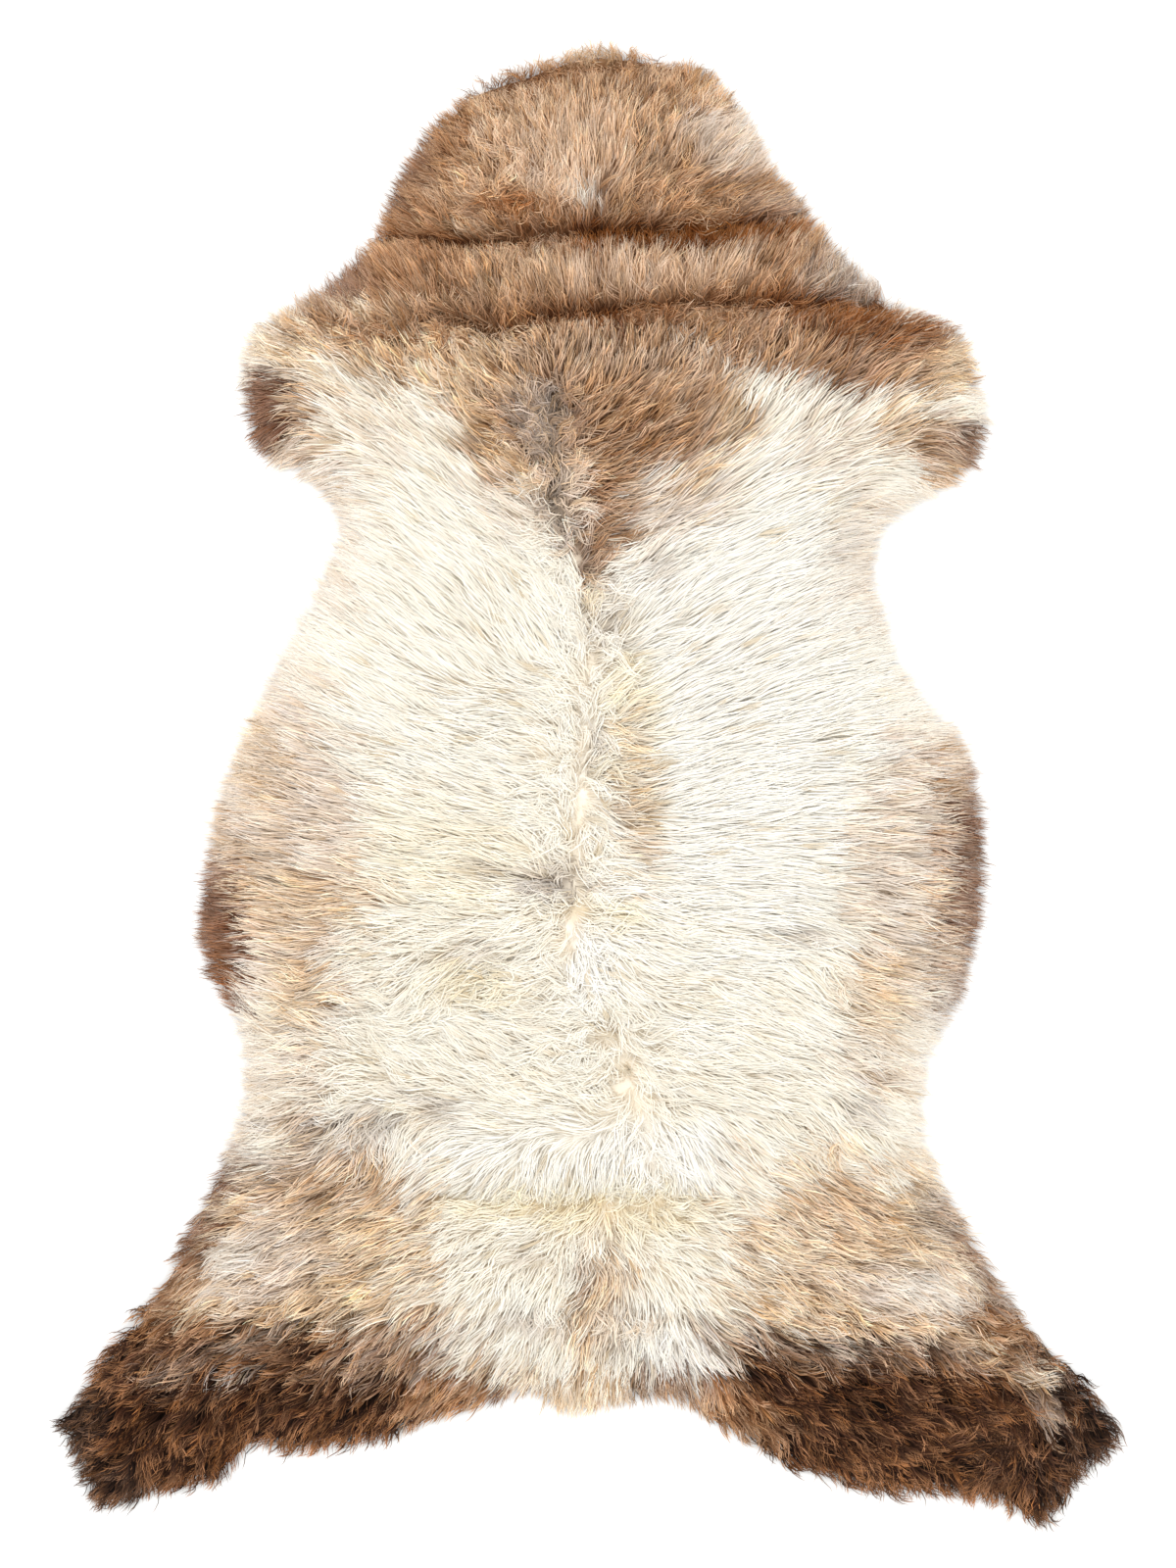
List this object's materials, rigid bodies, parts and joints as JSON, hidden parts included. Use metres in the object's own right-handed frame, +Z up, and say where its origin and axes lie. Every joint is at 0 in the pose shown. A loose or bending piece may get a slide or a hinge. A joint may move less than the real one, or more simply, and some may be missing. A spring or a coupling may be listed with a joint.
{
  "type": "sheepskin rug",
  "caption": "Sheepskin rug in its natural hide outline, cream wool with a brown neck, saddle and legs, laid flat with the wool up.",
  "frame": {"origin": "on the floor, under the middle of the box round the rug", "axes": "+X to the rug's right seen from above with the head end up, +Y towards the neck and head end, +Z up through the wool"},
  "size_m": [0.8694, 1.2002, 0.0449],
  "materials": {
    "wool": "long soft wool in pointed locks, cream with fawn, brown and umber markings",
    "hide": "tanned suede underside, matt"
  },
  "bodies": {
    "root": {"sheepskin": "wool"}
  },
  "joints": []
}
